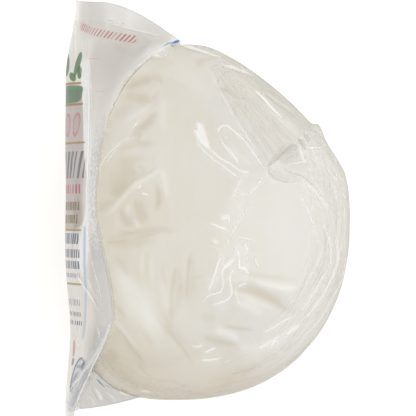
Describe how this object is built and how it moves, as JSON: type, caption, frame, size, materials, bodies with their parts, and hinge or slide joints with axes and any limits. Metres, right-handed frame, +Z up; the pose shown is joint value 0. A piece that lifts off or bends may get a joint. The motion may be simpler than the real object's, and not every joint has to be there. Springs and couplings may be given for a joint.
{
  "type": "packed mozzarella ball",
  "caption": "Mozzarella ball vacuum-sealed in clear film with a flat printed front film, lying on its side.",
  "frame": {"origin": "middle of the flat spot that the ball rests on", "axes": "+Z up, +Y towards the top end of the pack, -X the way the printed front faces"},
  "size_m": [0.0821, 0.1194, 0.0905],
  "materials": {
    "cheese": "soft moist ivory cheese",
    "clear_film": "thin clear glossy film, creased",
    "printed_film": "thin embossed film, glossy, printed on the front"
  },
  "bodies": {
    "root": {"wrapped_ball": "cheese", "label_film": "printed_film"}
  },
  "joints": []
}
